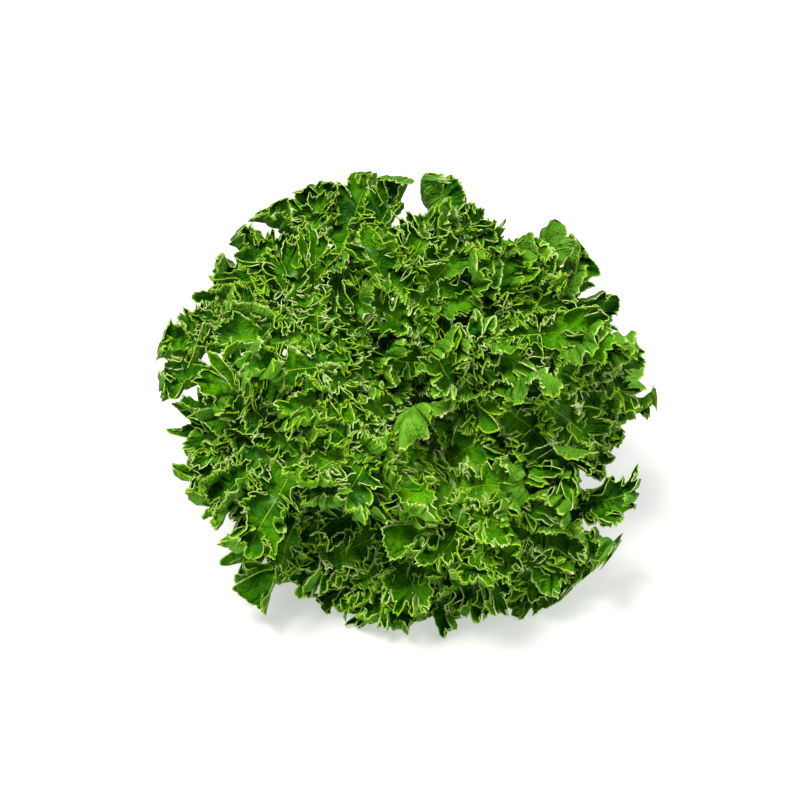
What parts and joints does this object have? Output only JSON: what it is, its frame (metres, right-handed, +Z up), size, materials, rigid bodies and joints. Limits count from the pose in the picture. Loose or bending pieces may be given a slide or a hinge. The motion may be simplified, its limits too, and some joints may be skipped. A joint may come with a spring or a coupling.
{
  "type": "kale bunch",
  "caption": "Bunch of curly kale lying on its side, its ruffled leaves arching out from stems held in an elastic band.",
  "frame": {"origin": "on the table under the middle of the bunch's bounding box", "axes": "+Y towards the cut ends of the stems, -Y towards the viewer of the leaf tips, +X to that viewer's right, +Z up"},
  "size_m": [0.3422, 0.3446, 0.2566],
  "materials": {
    "outer_leaf": "semi-matte waxy leaf with pale green rims and ribs",
    "inner_leaf": "semi-matte waxy leaf with pale green rims and ribs",
    "heart_leaf": "semi-matte waxy leaf with pale green rims and ribs",
    "elastic_band": "matte"
  },
  "bodies": {
    "root": {"leaf_outer_1": "outer_leaf", "leaf_outer_2": "outer_leaf", "leaf_outer_3": "outer_leaf", "leaf_outer_4": "outer_leaf", "leaf_outer_5": "outer_leaf", "leaf_outer_6": "outer_leaf", "leaf_outer_7": "outer_leaf", "leaf_outer_8": "outer_leaf", "leaf_inner_1": "inner_leaf", "leaf_inner_2": "inner_leaf", "leaf_inner_3": "inner_leaf", "leaf_inner_4": "inner_leaf", "leaf_inner_5": "inner_leaf", "leaf_inner_6": "inner_leaf", "leaf_inner_7": "inner_leaf", "leaf_heart_1": "heart_leaf", "leaf_heart_2": "heart_leaf", "leaf_heart_3": "heart_leaf", "elastic_band": "elastic_band"}
  },
  "joints": []
}
